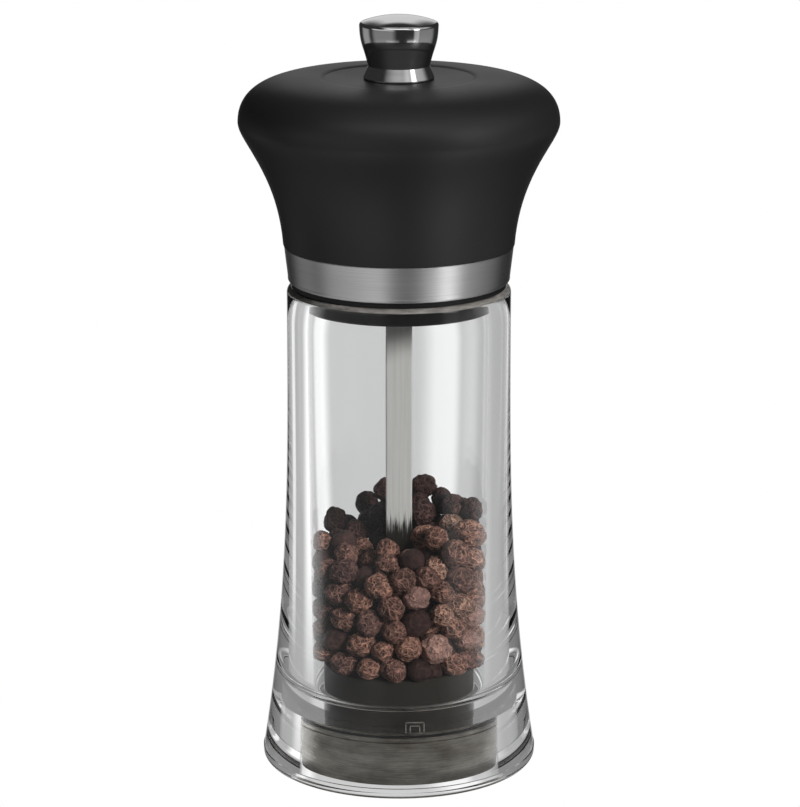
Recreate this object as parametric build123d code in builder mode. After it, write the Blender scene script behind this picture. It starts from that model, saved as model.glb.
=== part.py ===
"""Pepper mill with a clear acrylic body, a flared crown and a knob that sets the grind.

Millimetres. +Z is up along the mill's axis and z = 0 is the surface that it stands on.
Every round part is a revolved half-section, drawn as (radius, height).
"""

from build123d import *
import os

os.makedirs("parts", exist_ok=True)

# ---------------------------------------------------------------- driving dimensions
# Clear body
BODY_H = 93.85           # height of the clear body
BODY_R = 21.22           # outer radius of its straight upper part
FOOT_R = 26.42           # outer radius of the foot rim
FOOT_RIM_TOP = 2.4       # height of the foot rim
FOOT_STEP = 0.12         # the flare starts this much inside the rim
FLARE_TOP = 89.2         # where the flare has become straight
MOUTH_R = 17.5           # bore radius at the mouth
BORE_R = 17.2            # bore radius at the bottom, with moulding draft
BORE_FLOOR = 15.0        # height of the shoulder at the bottom of the bore
LEDGE = 11.4             # height of the ledge over the recess
THROAT_R = 15.15         # radius of the throat between bore and recess
RECESS_R = 19.5          # recess radius at the ledge
RECESS_MOUTH_R = 20.0    # recess radius at the floor
FOOT_ROUND = 1.5         # rounding under the foot
RIM_ROUND = 1.2          # rounding of the top rim
MOUTH_CHAMFER = 0.4
BORE_CORNER = 3.2        # height of the rounded corner at the bottom of the bore
NOTCH_X, NOTCH_Y = 3.25, -16.0      # middle of the locating notch in the ledge
NOTCH_W, NOTCH_L, NOTCH_H = 3.3, 3.6, 1.5

# Grinding mechanism
HOUSING_R = 14.9
HOUSING_TOP = 20.2
HOUSING_BORE_R = 13.6    # upper bore, round the bridge plate
FEED_R = 9.6             # throat that feeds the grinder
GRINDER_R = 12.2         # outer radius of the grinding ring
GRINDER_TOP = 10.0
GRINDER_BOTTOM = 3.2
CUP_TOP = 10.4           # top of the steel base cup
CUP_BOTTOM = 0.9
CUP_WALL = 0.7
CUP_R = RECESS_R - 0.05
BEAD_Z = 9.55            # groove under the cup's rolled rim
BEAD_H = 0.3
BEAD_DEPTH = 0.3
SEAL_R = 19.4            # rubber seal between cup and ledge
SEAL_W = 0.5
SEAL_H = 0.2
HOUSING_FLANGE_R = 18.3
POCKET_IN_R, POCKET_OUT_R, POCKET_H = 14.0, 17.4, 5.0
KEY_W = 2.0              # keys of the grinding ring
KEY_L = 2.0
KEY_H = 4.0
PLATE_BOTTOM = 16.4      # bridge plate
PLATE_TOP = 18.0
HUB_TOP = 19.6
HUB_R = 6.6
SPOKE_W = 3.2
PLATE_RIM_R = 10.0       # inner radius of the bridge plate's ring
EAR_R = 2.1              # radius of the plate's screw ears
OUTLET_R = 10.2          # opening in the base ring
CONE_BOTTOM_Z = 3.4      # grinding cone
CONE_TOP_Z = 10.5
CONE_BOTTOM_R = 9.0
CONE_TOP_R = 5.6
GRIND_GAP = 0.55         # radial gap between cone and ring at the finest setting
TEETH = 18
GROOVE_DEPTH = 0.9
GROOVE_SKEW = 24         # slant of the teeth, degrees

# Shaft and knob
SHAFT_W = 5.0            # width of the square shaft
SHAFT_CORNER_R = 0.3
SLIDE_GAP = 0.05         # running clearance of the sliding and turning fits
BUSH_R = 4.9
SQUARE_TOP = 128.0       # where the square shaft becomes a round thread
THREAD_R = 2.45
THREAD_PITCH = 0.8
SHAFT_TOP = 141.6
KNOB_BASE = 133.25
KNOB_TOP = 145.1
KNOB_FOOT_R = 6.6        # conical foot and neck of the knob
KNOB_NECK_R = 5.75
KNOB_NECK_Z = 135.75
KNOB_RIM = (7.0, 143.85)  # where the rim's rounding meets the domed top
INSERT_R = 4.2
INSERT_TOP = 141.9

# Crown
BAND_BOTTOM = 94.95
BAND_TOP_R = 21.68
BAND_BOTTOM_R = 20.98
BAND_ROLL = 0.75         # height of the roll at the band's lower edge
BAND_TOP = 101.8
COLLAR_R = 20.3          # plastic collar under the steel band
FLANGE_BOTTOM = 93.95    # underside of the liner's flange, just over the body
FLANGE_TOP = 95.0
SPIGOT_R = MOUTH_R - 0.09
SPIGOT_BOTTOM = 90.0
CROWN_R = 30.15          # widest radius of the crown
CROWN_WIDEST_Z = 125.25
CROWN_TOP = 133.65
DISH_Z = 133.2           # floor of the shallow dish round the knob
DISH_R = 14.6
BOSS_R = 5.6
CAVITY_TOP = 130.8
COLLAR_BORE_R = 18.2
SPIGOT_WALL = 1.8
BOSS_BORE_R = 4.0
CROWN_BORE_R = 3.0       # hole for the shaft in the crown's top
WASHER_SEAT_R = 6.0
WASHER_SEAT_DEPTH = 0.55
CROWN_NECK_R = 21.85     # crown radius just above the band
WEB_T = 1.4

# Peppercorns
FILL_BOTTOM = 20.9
FILL_R = 16.9
FILL_HOLE_R = 4.2        # clears the corners of the turning shaft
FILL_TOP = 46.5          # height of the heap on the axis
FILL_TILT = (7, -6)      # slope of the heap about X and Y, degrees

# Fasteners: the radius of the circle that each set of three screws stands on
DRIVE_SCREW_R = 7.6
PLATE_SCREW_R = 11.4
BASE_SCREW_R = 16.4
SCREW_R = 0.95           # radius of the small screws and of their pilot holes
CROSS_W = 0.45           # width and length of the cross recess
CROSS_L = 2.0
SQUARE_HOLE = SHAFT_W + 2 * SLIDE_GAP


# ---------------------------------------------------------------- clear body
# A thick-walled acrylic tube that flares to a heavy foot.
with BuildPart() as clear_body:
    with BuildSketch(Plane.XZ):
        with BuildLine():
            Line((RECESS_MOUTH_R, 0), (FOOT_R - FOOT_ROUND, 0))
            foot_curve = TangentArc((FOOT_R - FOOT_ROUND, 0), (FOOT_R, FOOT_ROUND), tangent=(1, 0))
            Line(foot_curve @ 1, (FOOT_R, FOOT_RIM_TOP - FOOT_STEP))
            Line((FOOT_R, FOOT_RIM_TOP - FOOT_STEP), (FOOT_R - FOOT_STEP, FOOT_RIM_TOP))
            Bezier(
                (FOOT_R - FOOT_STEP, FOOT_RIM_TOP),
                (BODY_R, 34.3),
                (BODY_R, FLARE_TOP - 28),
                (BODY_R, FLARE_TOP),
            )
            Line((BODY_R, FLARE_TOP), (BODY_R, BODY_H - RIM_ROUND))
            TangentArc((BODY_R, BODY_H - RIM_ROUND), (BODY_R - RIM_ROUND, BODY_H), tangent=(0, 1))
            Line((BODY_R - RIM_ROUND, BODY_H), (MOUTH_R + MOUTH_CHAMFER, BODY_H))
            Line((MOUTH_R + MOUTH_CHAMFER, BODY_H), (MOUTH_R, BODY_H - MOUTH_CHAMFER))
            Line((MOUTH_R, BODY_H - MOUTH_CHAMFER), (BORE_R, BORE_FLOOR + BORE_CORNER))
            Bezier(
                (BORE_R, BORE_FLOOR + BORE_CORNER),
                (BORE_R, BORE_FLOOR + 0.4),
                (BORE_R - 0.4, BORE_FLOOR),
                (THROAT_R, BORE_FLOOR - 0.6),
            )
            Line((THROAT_R, BORE_FLOOR - 0.6), (THROAT_R, LEDGE))
            Line((THROAT_R, LEDGE), (RECESS_R, LEDGE))
            Line((RECESS_R, LEDGE), (RECESS_MOUTH_R, 0))
        make_face()
    revolve(axis=Axis.Z)
    # Locating notch in the ledge, at the front
    with BuildSketch(Plane.XY.offset(LEDGE)):
        with Locations((NOTCH_X, NOTCH_Y)):
            Rectangle(NOTCH_W, NOTCH_L)
    extrude(amount=NOTCH_H, mode=Mode.SUBTRACT)
clear_body.part.label = "clear_body"
export_step(clear_body.part, "parts/clear_body.step")

# ---------------------------------------------------------------- grinding mechanism
# Pressed steel cup that lines the recess and shows silver through the foot.
with BuildPart() as base_cup:
    with BuildSketch(Plane.XZ):
        with BuildLine():
            Polyline(
                (CUP_R, CUP_BOTTOM),
                (CUP_R, BEAD_Z - BEAD_H),
                (CUP_R - BEAD_DEPTH, BEAD_Z - BEAD_H),
                (CUP_R - BEAD_DEPTH, BEAD_Z),
                (CUP_R, BEAD_Z),
                (CUP_R, CUP_TOP),
                (HOUSING_R, CUP_TOP),
                (HOUSING_R, CUP_TOP - CUP_WALL),
                (CUP_R - CUP_WALL, CUP_TOP - CUP_WALL),
                (CUP_R - CUP_WALL, CUP_BOTTOM),
                close=True,
            )
        make_face()
    revolve(axis=Axis.Z)
    fillet(base_cup.edges().group_by(Axis.Z)[-1].sort_by(SortBy.RADIUS)[-1], 0.5)
base_cup.part.label = "base_cup"
export_step(base_cup.part, "parts/base_cup.step")

# Flat rubber seal that lies on the cup's rim, under the ledge.
with BuildPart() as cup_seal:
    with BuildSketch(Plane.XY.offset(CUP_TOP)):
        Circle(SEAL_R)
        Circle(SEAL_R - SEAL_W, mode=Mode.SUBTRACT)
    extrude(amount=SEAL_H)
cup_seal.part.label = "cup_seal"
export_step(cup_seal.part, "parts/cup_seal.step")

# Stepped housing: the ring sits in its lower bore and the bridge plate on its shoulder.
with BuildPart() as grinder_housing:
    with BuildSketch(Plane.XZ):
        with BuildLine():
            Polyline(
                (HOUSING_BORE_R, HOUSING_TOP),
                (HOUSING_R, HOUSING_TOP),
                (HOUSING_R, CUP_TOP - CUP_WALL),
                (HOUSING_FLANGE_R, CUP_TOP - CUP_WALL),
                (HOUSING_FLANGE_R, GRINDER_BOTTOM),
                (GRINDER_R, GRINDER_BOTTOM),
                (GRINDER_R, GRINDER_TOP),
                (FEED_R, GRINDER_TOP),
                (FEED_R, PLATE_BOTTOM - 1.5),
                (FEED_R + 0.5, PLATE_BOTTOM),
                (HOUSING_BORE_R, PLATE_BOTTOM),
                close=True,
            )
        make_face()
    revolve(axis=Axis.Z)
    fillet(grinder_housing.edges().group_by(Axis.Z)[-1], 0.4)
    # Weight-saving pockets in the underside, between the screw bosses
    with BuildSketch(Plane.XY.offset(GRINDER_BOTTOM)):
        Circle(POCKET_OUT_R)
        Circle(POCKET_IN_R, mode=Mode.SUBTRACT)
        with PolarLocations(BASE_SCREW_R - 0.8, 3, start_angle=30):
            Rectangle(8.0, 5.4, mode=Mode.SUBTRACT)
    extrude(amount=POCKET_H, mode=Mode.SUBTRACT)
    # Keyways that stop the ring from turning
    with BuildSketch(Plane.XY.offset(GRINDER_BOTTOM)):
        with PolarLocations(GRINDER_R, 3, start_angle=90):
            Rectangle(KEY_W, KEY_L + 0.4)
    extrude(amount=GRINDER_TOP - GRINDER_BOTTOM, mode=Mode.SUBTRACT)
    # Pilot holes
    with BuildSketch(Plane.XY.offset(PLATE_BOTTOM)):
        with PolarLocations(PLATE_SCREW_R, 3):
            Circle(SCREW_R)
    extrude(amount=-3.6, mode=Mode.SUBTRACT)
    with BuildSketch(Plane.XY.offset(GRINDER_BOTTOM)):
        with PolarLocations(BASE_SCREW_R, 3, start_angle=30):
            Circle(SCREW_R)
    extrude(amount=4.6, mode=Mode.SUBTRACT)
grinder_housing.part.label = "grinder_housing"
export_step(grinder_housing.part, "parts/grinder_housing.step")

# One slanted V groove, cut in turn from the cone and from the ring.
CONE_SLOPE = (CONE_BOTTOM_R - CONE_TOP_R) / (CONE_TOP_Z - CONE_BOTTOM_Z)
CONE_MID_R = (CONE_BOTTOM_R + CONE_TOP_R) / 2
CONE_MID_Z = (CONE_BOTTOM_Z + CONE_TOP_Z) / 2
cone_side = Vector(-CONE_SLOPE, 0, 1).normalized()
cone_normal = Vector(1, 0, CONE_SLOPE).normalized()

with BuildPart() as cone_groove:
    groove_dir = cone_side.rotate(Axis((0, 0, 0), cone_normal), GROOVE_SKEW)
    with BuildSketch(Plane((CONE_MID_R, 0, CONE_MID_Z), x_dir=groove_dir.cross(cone_normal), z_dir=groove_dir)):
        Polygon((-0.9, -1.2), (0.9, -1.2), (0, GROOVE_DEPTH), align=None)
    extrude(amount=7, both=True)

with BuildPart() as ring_groove:
    groove_dir = cone_side.rotate(Axis((0, 0, 0), cone_normal), -GROOVE_SKEW)
    ring_mid = (CONE_MID_R + GRIND_GAP, 0, CONE_MID_Z)
    with BuildSketch(Plane(ring_mid, x_dir=groove_dir.cross(cone_normal), z_dir=groove_dir)):
        Polygon((-0.9, 1.2), (0, -GROOVE_DEPTH), (0.9, 1.2), align=None)
    extrude(amount=7, both=True)

# Fixed grinding ring with teeth inside and three keys outside.
with BuildPart() as grinding_ring:
    with BuildSketch(Plane.XZ):
        with BuildLine():
            ring_r = CONE_BOTTOM_R + GRIND_GAP
            Polyline(
                (GRINDER_R, GRINDER_BOTTOM),
                (GRINDER_R, GRINDER_TOP),
                (ring_r - CONE_SLOPE * (GRINDER_TOP - CONE_BOTTOM_Z), GRINDER_TOP),
                (ring_r - CONE_SLOPE * (GRINDER_BOTTOM - CONE_BOTTOM_Z), GRINDER_BOTTOM),
                close=True,
            )
        make_face()
    revolve(axis=Axis.Z)
    with PolarLocations(0, TEETH):
        add(ring_groove.part, mode=Mode.SUBTRACT)
    with BuildSketch(Plane.XY.offset(GRINDER_BOTTOM)):
        with PolarLocations(GRINDER_R, 3, start_angle=90):
            Rectangle(KEY_W, KEY_L)
    extrude(amount=KEY_H)
grinding_ring.part.label = "grinding_ring"
export_step(grinding_ring.part, "parts/grinding_ring.step")

# Bridge plate: a ring, three spokes and the hub that guides the bush.
with BuildPart() as bridge_plate:
    with BuildSketch(Plane.XY.offset(PLATE_BOTTOM)):
        Circle(HOUSING_BORE_R - 0.1)
        Circle(PLATE_RIM_R, mode=Mode.SUBTRACT)
        Circle(HUB_R)
        with PolarLocations((HUB_R + PLATE_RIM_R) / 2, 3):
            Rectangle(7.0, SPOKE_W)
        with PolarLocations(PLATE_SCREW_R, 3):
            Circle(EAR_R)
    extrude(amount=PLATE_TOP - PLATE_BOTTOM)
    with BuildSketch(Plane.XY.offset(PLATE_TOP)):
        Circle(HUB_R)
    extrude(amount=HUB_TOP - PLATE_TOP)
    with BuildSketch(Plane.XY.offset(HUB_TOP)):
        Circle(BUSH_R + SLIDE_GAP)
        with PolarLocations(PLATE_SCREW_R, 3):
            Circle(SCREW_R)
    extrude(amount=PLATE_BOTTOM - HUB_TOP, mode=Mode.SUBTRACT)
bridge_plate.part.label = "bridge_plate"
export_step(bridge_plate.part, "parts/bridge_plate.step")

# Cross-head screws that hold the bridge plate down.
with BuildPart() as plate_screws:
    with BuildSketch(Plane.XY.offset(PLATE_TOP)):
        with PolarLocations(PLATE_SCREW_R, 3):
            Circle(1.9)
    extrude(amount=1.1)
    fillet(plate_screws.edges().group_by(Axis.Z)[-1], 0.45)
    with BuildSketch(Plane.XY.offset(PLATE_TOP)):
        with PolarLocations(PLATE_SCREW_R, 3):
            Circle(SCREW_R)
    extrude(amount=-4.9)
    with BuildSketch(Plane.XY.offset(PLATE_TOP + 1.1)):
        with PolarLocations(PLATE_SCREW_R, 3):
            Rectangle(CROSS_L, CROSS_W)
            Rectangle(CROSS_W, CROSS_L)
    extrude(amount=-0.6, mode=Mode.SUBTRACT)
plate_screws.part.label = "plate_screws"
export_step(plate_screws.part, "parts/plate_screws.step")

# Ring that closes the underside and holds the grinding ring up.
BASE_RING_BOTTOM = 1.6
with BuildPart() as base_ring:
    with BuildSketch(Plane.XY.offset(BASE_RING_BOTTOM)):
        Circle(RECESS_R - CUP_WALL - 0.15)
        Circle(OUTLET_R, mode=Mode.SUBTRACT)
        with PolarLocations(BASE_SCREW_R, 3, start_angle=30):
            Circle(SCREW_R, mode=Mode.SUBTRACT)
    extrude(amount=GRINDER_BOTTOM - BASE_RING_BOTTOM)
    chamfer(base_ring.edges().group_by(Axis.Z)[0].sort_by(SortBy.RADIUS)[0], 0.7)
    # Grip grooves round the underside
    with BuildSketch(Plane.XY.offset(BASE_RING_BOTTOM)):
        with PolarLocations(13.2, 12, start_angle=15):
            SlotOverall(3.0, 0.9)
    extrude(amount=0.5, mode=Mode.SUBTRACT)
base_ring.part.label = "base_ring"
export_step(base_ring.part, "parts/base_ring.step")

# Cross-head screws under the base ring.
with BuildPart() as base_screws:
    with BuildSketch(Plane.XY.offset(BASE_RING_BOTTOM)):
        with PolarLocations(BASE_SCREW_R, 3, start_angle=30):
            Circle(1.7)
    extrude(amount=-1.0)
    fillet(base_screws.edges().group_by(Axis.Z)[0], 0.4)
    with BuildSketch(Plane.XY.offset(BASE_RING_BOTTOM)):
        with PolarLocations(BASE_SCREW_R, 3, start_angle=30):
            Circle(SCREW_R)
    extrude(amount=6.0)
    with BuildSketch(Plane.XY.offset(BASE_RING_BOTTOM - 1.0)):
        with PolarLocations(BASE_SCREW_R, 3, start_angle=30):
            Rectangle(CROSS_L, CROSS_W)
            Rectangle(CROSS_W, CROSS_L)
    extrude(amount=0.55, mode=Mode.SUBTRACT)
base_screws.part.label = "base_screws"
export_step(base_screws.part, "parts/base_screws.step")

# Peppercorns as one closed heap with a sloping top and room for the shaft.
with BuildPart() as peppercorns:
    with BuildSketch(Plane.XY.offset(FILL_BOTTOM)):
        Circle(FILL_R)
        Circle(FILL_HOLE_R, mode=Mode.SUBTRACT)
    extrude(amount=FILL_TOP + 12 - FILL_BOTTOM)
    heap_top = Plane((0, 0, FILL_TOP), z_dir=(0, 0, 1)).rotated((FILL_TILT[0], FILL_TILT[1], 0))
    split(bisect_by=heap_top, keep=Keep.BOTTOM)
peppercorns.part.label = "peppercorns"
export_step(peppercorns.part, "parts/peppercorns.step")

# ---------------------------------------------------------------- guide bush
# Round outside, square inside: turns in the hub and lets the shaft rise and fall.
BUSH_BOTTOM = 15.0
CLIP_TOP = PLATE_BOTTOM - 0.1
CLIP_T = 0.7
with BuildPart() as guide_bush:
    with BuildSketch(Plane.XZ):
        with BuildLine():
            Polyline(
                (2.0, BUSH_BOTTOM),
                (BUSH_R, BUSH_BOTTOM),
                (BUSH_R, CLIP_TOP - CLIP_T),
                (BUSH_R - 0.6, CLIP_TOP - CLIP_T),
                (BUSH_R - 0.6, CLIP_TOP),
                (BUSH_R, CLIP_TOP),
                (BUSH_R, HUB_TOP + 0.1),
                (BUSH_R + 1.0, HUB_TOP + 0.1),
                (BUSH_R + 1.0, HUB_TOP + 0.9),
                (2.0, HUB_TOP + 0.9),
                close=True,
            )
        make_face()
    revolve(axis=Axis.Z)
    with BuildSketch(Plane.XY.offset(BUSH_BOTTOM)):
        Rectangle(SQUARE_HOLE, SQUARE_HOLE)
    extrude(amount=HUB_TOP + 0.9 - BUSH_BOTTOM, mode=Mode.SUBTRACT)
guide_bush.part.label = "guide_bush"
export_step(guide_bush.part, "parts/guide_bush.step")

with BuildPart() as bush_clip:
    with BuildSketch(Plane.XY.offset(CLIP_TOP - CLIP_T)):
        Circle(BUSH_R + 1.2)
        Circle(BUSH_R - 0.6, mode=Mode.SUBTRACT)
        with Locations((BUSH_R, 0)):
            Rectangle(4.0, 3.4, mode=Mode.SUBTRACT)
    extrude(amount=CLIP_T)
bush_clip.part.label = "bush_clip"
export_step(bush_clip.part, "parts/bush_clip.step")

# ---------------------------------------------------------------- spindle
THREAD_TURNS = 15
with BuildPart() as drive_shaft:
    with BuildSketch(Plane.XY.offset(CONE_BOTTOM_Z)):
        RectangleRounded(SHAFT_W, SHAFT_W, SHAFT_CORNER_R)
    extrude(amount=SQUARE_TOP - CONE_BOTTOM_Z)
    chamfer(drive_shaft.edges().group_by(Axis.Z)[-1], 0.25)
    # Thread, drawn as a stack of ridges at the thread's pitch
    thread_start = SHAFT_TOP - 0.6 - THREAD_TURNS * THREAD_PITCH
    outline = [(0, SQUARE_TOP - 1), (THREAD_R - 0.35, SQUARE_TOP - 1), (THREAD_R - 0.35, thread_start)]
    for turn in range(THREAD_TURNS):
        ridge_z = thread_start + turn * THREAD_PITCH
        outline.append((THREAD_R, ridge_z + THREAD_PITCH / 2))
        outline.append((THREAD_R - 0.35, ridge_z + THREAD_PITCH))
    outline += [(THREAD_R - 0.8, SHAFT_TOP), (0, SHAFT_TOP)]
    with BuildSketch(Plane.XZ):
        with BuildLine():
            Polyline(*outline, close=True)
        make_face()
    revolve(axis=Axis.Z)
    # Tapped hole in the foot of the shaft, for the cone's screw
    with BuildSketch(Plane.XY.offset(CONE_BOTTOM_Z)):
        Circle(1.25)
    extrude(amount=6.5, mode=Mode.SUBTRACT)
drive_shaft.part.label = "drive_shaft"
export_step(drive_shaft.part, "parts/drive_shaft.step")

with BuildPart() as grinding_cone:
    with BuildSketch(Plane.XZ):
        with BuildLine():
            Polyline(
                (0, CONE_BOTTOM_Z),
                (CONE_BOTTOM_R, CONE_BOTTOM_Z),
                (CONE_TOP_R, CONE_TOP_Z),
                (0, CONE_TOP_Z),
                close=True,
            )
        make_face()
    revolve(axis=Axis.Z)
    with PolarLocations(0, TEETH - 3):
        add(cone_groove.part, mode=Mode.SUBTRACT)
    with BuildSketch(Plane.XY.offset(CONE_BOTTOM_Z)):
        RectangleRounded(SHAFT_W, SHAFT_W, SHAFT_CORNER_R)
    extrude(amount=CONE_TOP_Z - CONE_BOTTOM_Z, mode=Mode.SUBTRACT)
grinding_cone.part.label = "grinding_cone"
export_step(grinding_cone.part, "parts/grinding_cone.step")

WASHER_T = 0.5
with BuildPart() as cone_washer:
    with BuildSketch(Plane.XY.offset(CONE_BOTTOM_Z - WASHER_T)):
        Circle(4.6)
        Circle(1.4, mode=Mode.SUBTRACT)
    extrude(amount=WASHER_T)
cone_washer.part.label = "cone_washer"
export_step(cone_washer.part, "parts/cone_washer.step")

with BuildPart() as cone_screw:
    head_top = CONE_BOTTOM_Z - WASHER_T
    with BuildSketch(Plane.XY.offset(head_top)):
        Circle(2.7)
    extrude(amount=-1.4)
    fillet(cone_screw.edges().group_by(Axis.Z)[0], 0.5)
    with BuildSketch(Plane.XY.offset(head_top)):
        Circle(1.25)
    extrude(amount=6.2)
    with BuildSketch(Plane.XY.offset(head_top - 1.4)):
        RegularPolygon(radius=1.45, side_count=6)
    extrude(amount=0.9, mode=Mode.SUBTRACT)
cone_screw.part.label = "cone_screw"
export_step(cone_screw.part, "parts/cone_screw.step")

# Spring that pushes the cone down and away from the ring.
SPRING_R = 4.75
WIRE_R = 0.28
SEAT_TOP = CONE_TOP_Z + 0.4
SPRING_TOP = BUSH_BOTTOM - 0.05
with BuildPart() as spring_seat:
    with BuildSketch(Plane.XY.offset(CONE_TOP_Z)):
        Circle(SPRING_R + 0.7)
        Rectangle(SQUARE_HOLE, SQUARE_HOLE, mode=Mode.SUBTRACT)
    extrude(amount=SEAT_TOP - CONE_TOP_Z)
spring_seat.part.label = "spring_seat"
export_step(spring_seat.part, "parts/spring_seat.step")

with BuildPart() as lift_spring:
    with BuildLine() as coil:
        Helix(
            pitch=0.95,
            height=SPRING_TOP - SEAT_TOP - 2 * WIRE_R,
            radius=SPRING_R,
            center=(0, 0, SEAT_TOP + WIRE_R),
        )
    with BuildSketch(Plane(coil.line @ 0, z_dir=coil.line % 0)):
        Circle(WIRE_R)
    sweep(path=coil.line, is_frenet=True)
lift_spring.part.label = "lift_spring"
export_step(lift_spring.part, "parts/lift_spring.step")

# ---------------------------------------------------------------- crown
# Hollow moulding with a central boss, three webs and a collar for the steel band.
WEB_BOTTOM = FLANGE_TOP + 5
with BuildPart() as crown_shell:
    with BuildSketch(Plane.XZ):
        with BuildLine():
            Line((COLLAR_BORE_R, FLANGE_TOP), (COLLAR_R, FLANGE_TOP))
            Line((COLLAR_R, FLANGE_TOP), (COLLAR_R, BAND_TOP))
            Line((COLLAR_R, BAND_TOP), (CROWN_NECK_R - 0.2, BAND_TOP))
            Line((CROWN_NECK_R - 0.2, BAND_TOP), (CROWN_NECK_R, BAND_TOP + 0.2))
            Bezier(
                (CROWN_NECK_R, BAND_TOP + 0.2),
                (22.92, 115.9),
                (CROWN_R, CROWN_WIDEST_Z - 3.1),
                (CROWN_R, CROWN_WIDEST_Z),
            )
            Bezier(
                (CROWN_R, CROWN_WIDEST_Z),
                (CROWN_R, CROWN_WIDEST_Z + 5.2),
                (26.1, CROWN_TOP),
                (16.0, CROWN_TOP),
            )
            Line((16.0, CROWN_TOP), (DISH_R + 0.6, CROWN_TOP))
            rim_end = (DISH_R - 0.6, CROWN_TOP - 0.25)
            TangentArc((DISH_R + 0.6, CROWN_TOP), rim_end, tangent=(-1, 0))
            Line(rim_end, (WASHER_SEAT_R, DISH_Z))
            # Seat of the knob's washer, then the boss
            Polyline(
                (WASHER_SEAT_R, DISH_Z),
                (WASHER_SEAT_R, DISH_Z - WASHER_SEAT_DEPTH),
                (CROWN_BORE_R, DISH_Z - WASHER_SEAT_DEPTH),
                (CROWN_BORE_R, CAVITY_TOP - 1.8),
                (BOSS_BORE_R, CAVITY_TOP - 1.8),
                (BOSS_BORE_R, FLANGE_TOP),
                (BOSS_R, FLANGE_TOP),
                (BOSS_R, CAVITY_TOP),
                (16.0, CAVITY_TOP),
            )
            Bezier((16.0, CAVITY_TOP), (24.0, CAVITY_TOP), (27.6, 127.5), (27.6, 124.6))
            Bezier((27.6, 124.6), (27.6, 120.6), (20.0, 114.0), (COLLAR_BORE_R, 101.0))
            Line((COLLAR_BORE_R, 101.0), (COLLAR_BORE_R, FLANGE_TOP))
        make_face()
    revolve(axis=Axis.Z)
    # Screw bosses against the central boss
    with BuildSketch(Plane.XY.offset(FLANGE_TOP)):
        with PolarLocations(DRIVE_SCREW_R, 3):
            Circle(2.2)
        Circle(4.8, mode=Mode.SUBTRACT)
    extrude(amount=14)
    # Webs that tie the boss to the wall
    with BuildSketch(Plane.XY.offset(WEB_BOTTOM)):
        with PolarLocations(12.0, 3, start_angle=60):
            Rectangle(14.2, WEB_T)
    extrude(amount=10)
    with BuildSketch(Plane.XY.offset(FLANGE_TOP)):
        with PolarLocations(DRIVE_SCREW_R, 3):
            Circle(SCREW_R)
    extrude(amount=9, mode=Mode.SUBTRACT)
crown_shell.part.label = "crown_shell"
export_step(crown_shell.part, "parts/crown_shell.step")

with BuildPart() as steel_band:
    with BuildSketch(Plane.XZ):
        with BuildLine():
            Line((COLLAR_R, BAND_BOTTOM), (COLLAR_R + 0.15, BAND_BOTTOM))
            lower_roll = TangentArc(
                (COLLAR_R + 0.15, BAND_BOTTOM), (BAND_BOTTOM_R, BAND_BOTTOM + BAND_ROLL), tangent=(1, 0)
            )
            Line(lower_roll @ 1, (BAND_TOP_R, BAND_TOP - 0.15))
            Line((BAND_TOP_R, BAND_TOP - 0.15), (BAND_TOP_R - 0.15, BAND_TOP))
            Line((BAND_TOP_R - 0.15, BAND_TOP), (COLLAR_R, BAND_TOP))
            Line((COLLAR_R, BAND_TOP), (COLLAR_R, BAND_BOTTOM))
        make_face()
    revolve(axis=Axis.Z)
steel_band.part.label = "steel_band"
export_step(steel_band.part, "parts/steel_band.step")

# Liner: a flange over the body's rim and a spigot that turns in its mouth.
with BuildPart() as crown_liner:
    with BuildSketch(Plane.XZ):
        with BuildLine():
            Polyline(
                (4.6, FLANGE_BOTTOM),
                (SPIGOT_R - SPIGOT_WALL, FLANGE_BOTTOM),
                (SPIGOT_R - SPIGOT_WALL, SPIGOT_BOTTOM),
                (SPIGOT_R - 0.4, SPIGOT_BOTTOM),
                (SPIGOT_R, SPIGOT_BOTTOM + 0.4),
                (SPIGOT_R, FLANGE_BOTTOM),
                (COLLAR_R, FLANGE_BOTTOM),
                (COLLAR_R, FLANGE_TOP),
                (4.6, FLANGE_TOP),
                close=True,
            )
        make_face()
    revolve(axis=Axis.Z)
    with BuildSketch(Plane.XY.offset(FLANGE_TOP)):
        with PolarLocations(DRIVE_SCREW_R, 3):
            Circle(SCREW_R)
    extrude(amount=FLANGE_BOTTOM - FLANGE_TOP, mode=Mode.SUBTRACT)
crown_liner.part.label = "crown_liner"
export_step(crown_liner.part, "parts/crown_liner.step")

# Steel plate with the square hole that drives the shaft.
DRIVE_T = 1.2
with BuildPart() as drive_plate:
    with BuildSketch(Plane.XY.offset(FLANGE_BOTTOM)):
        Circle(11.0)
        Rectangle(SQUARE_HOLE, SQUARE_HOLE, mode=Mode.SUBTRACT)
        with PolarLocations(DRIVE_SCREW_R, 3):
            Circle(SCREW_R, mode=Mode.SUBTRACT)
    extrude(amount=-DRIVE_T)
drive_plate.part.label = "drive_plate"
export_step(drive_plate.part, "parts/drive_plate.step")

with BuildPart() as drive_screws:
    head_top = FLANGE_BOTTOM - DRIVE_T
    with BuildSketch(Plane.XY.offset(head_top)):
        with PolarLocations(DRIVE_SCREW_R, 3):
            Circle(1.8)
    extrude(amount=-1.1)
    fillet(drive_screws.edges().group_by(Axis.Z)[0], 0.45)
    with BuildSketch(Plane.XY.offset(head_top)):
        with PolarLocations(DRIVE_SCREW_R, 3):
            Circle(SCREW_R)
    extrude(amount=10)
    with BuildSketch(Plane.XY.offset(head_top - 1.1)):
        with PolarLocations(DRIVE_SCREW_R, 3):
            Rectangle(CROSS_L, CROSS_W)
            Rectangle(CROSS_W, CROSS_L)
    extrude(amount=0.6, mode=Mode.SUBTRACT)
drive_screws.part.label = "drive_screws"
export_step(drive_screws.part, "parts/drive_screws.step")

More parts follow.
